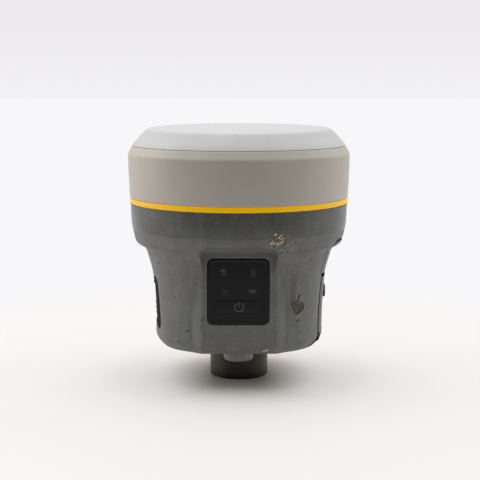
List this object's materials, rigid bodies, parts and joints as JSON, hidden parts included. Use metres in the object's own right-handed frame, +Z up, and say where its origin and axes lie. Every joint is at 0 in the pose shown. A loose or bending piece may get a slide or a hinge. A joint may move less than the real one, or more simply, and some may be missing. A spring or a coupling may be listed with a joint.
{
  "type": "gnss receiver",
  "caption": "Pole-top satellite survey receiver with a round grey radome, amber ring, waisted dark housing, front keypad, battery door and quick-release pole adapter.",
  "frame": {"origin": "centre of the pole adapter's underside, on the plane where it seats on a pole", "axes": "+Z up the pole through the antenna; the keypad faces -Y and the battery door +X"},
  "size_m": [0.119, 0.119, 0.136],
  "materials": {
    "radome_plastic": "fine satin grain, light grey",
    "radome_skirt_plastic": "fine satin grain, warm grey",
    "accent": "satin amber yellow",
    "housing_plastic": "fine texture, worn, dark grey",
    "black_plastic": "satin black",
    "keypad_film": "smooth satin black film",
    "rubber": "matte black",
    "grey_plastic": "satin mid grey",
    "black_anodised": "black anodised, turned",
    "steel": "plain steel",
    "brass": "plain brass",
    "aluminium": "satin",
    "circuit_board": "green solder mask",
    "antenna_ceramic": "matte",
    "window": "smoked clear",
    "cell_wrap": "satin"
  },
  "bodies": {
    "receiver_body": {"radome_cap": "radome_plastic", "radome_skirt": "radome_skirt_plastic", "accent_ring": "accent", "radome_seal": "rubber", "antenna_ground_plane": "aluminium", "antenna_board": "circuit_board", "lower_patch_antenna": "antenna_ceramic", "upper_patch_antenna": "antenna_ceramic", "amplifier_shield_can": "steel", "antenna_coax": "black_plastic", "lower_housing": "housing_plastic", "side_fairing": "housing_plastic", "door_hinge_pin": "steel", "door_seal": "rubber", "battery_bay": "black_plastic", "battery_contacts": "brass", "round_port": "steel", "usb_port": "steel", "keypad_panel": "keypad_film", "keypad_gasket": "rubber", "led_window_satellites": "window", "led_window_radio": "window", "led_window_wifi": "window", "led_window_battery": "window", "keypad_board": "circuit_board", "power_switch": "black_plastic", "keypad_flex": "brass", "pole_adapter": "black_anodised", "thread_insert": "steel", "adapter_socket": "aluminium", "release_spring": "steel", "antenna_jack": "brass", "antenna_jack_nut": "brass", "antenna_jack_insulator": "antenna_ceramic", "radio_coax": "black_plastic", "vent_plug": "rubber", "housing_screw_1": "steel", "housing_screw_2": "steel", "housing_screw_3": "steel", "housing_screw_4": "steel", "rating_plate": "aluminium", "chassis_frame": "aluminium", "main_board": "circuit_board", "gnss_shield_can": "steel", "wireless_module": "steel", "tilt_sensor": "black_plastic", "power_board": "circuit_board", "radio_modem": "steel", "power_lead": "black_plastic", "board_connector": "black_plastic"},
    "power_button_body": {"power_button": "keypad_film"},
    "battery_door_body": {"battery_door": "housing_plastic"},
    "door_latch_body": {"door_latch": "black_plastic"},
    "battery_pack_body": {"battery_pack": "cell_wrap"},
    "port_cover_body": {"port_cover": "rubber"},
    "release_button_body": {"release_button": "grey_plastic", "latch_plate": "steel"}
  },
  "joints": [
    {"name": "power_button_press", "type": "slide", "parent": "receiver_body", "child": "power_button_body", "axis": [0, 1, 0], "range_m": [0, 0.0006]},
    {"name": "battery_door_hinge", "type": "hinge", "parent": "receiver_body", "child": "battery_door_body", "pos_m": [0.041, 0, 0.0232], "axis": [0, 1, 0], "range_deg": [0, 105]},
    {"name": "door_latch_slide", "type": "slide", "parent": "battery_door_body", "child": "door_latch_body", "axis": [0, 0, -1], "range_m": [0, 0.0034]},
    {"name": "battery_eject", "type": "slide", "parent": "receiver_body", "child": "battery_pack_body", "axis": [1, 0, 0], "range_m": [0, 0.012]},
    {"name": "port_cover_hinge", "type": "hinge", "parent": "receiver_body", "child": "port_cover_body", "pos_m": [-0.0447, 0, 0.02955], "axis": [0, -1, 0], "range_deg": [0, 100]},
    {"name": "release_press", "type": "slide", "parent": "receiver_body", "child": "release_button_body", "axis": [0, 1, 0], "range_m": [0, 0.002], "deforming": ["release_spring"]}
  ],
  "couplings": [
    {"joint": "battery_door_hinge", "follows": "battery_eject", "rad_per_m": 152.71}
  ]
}
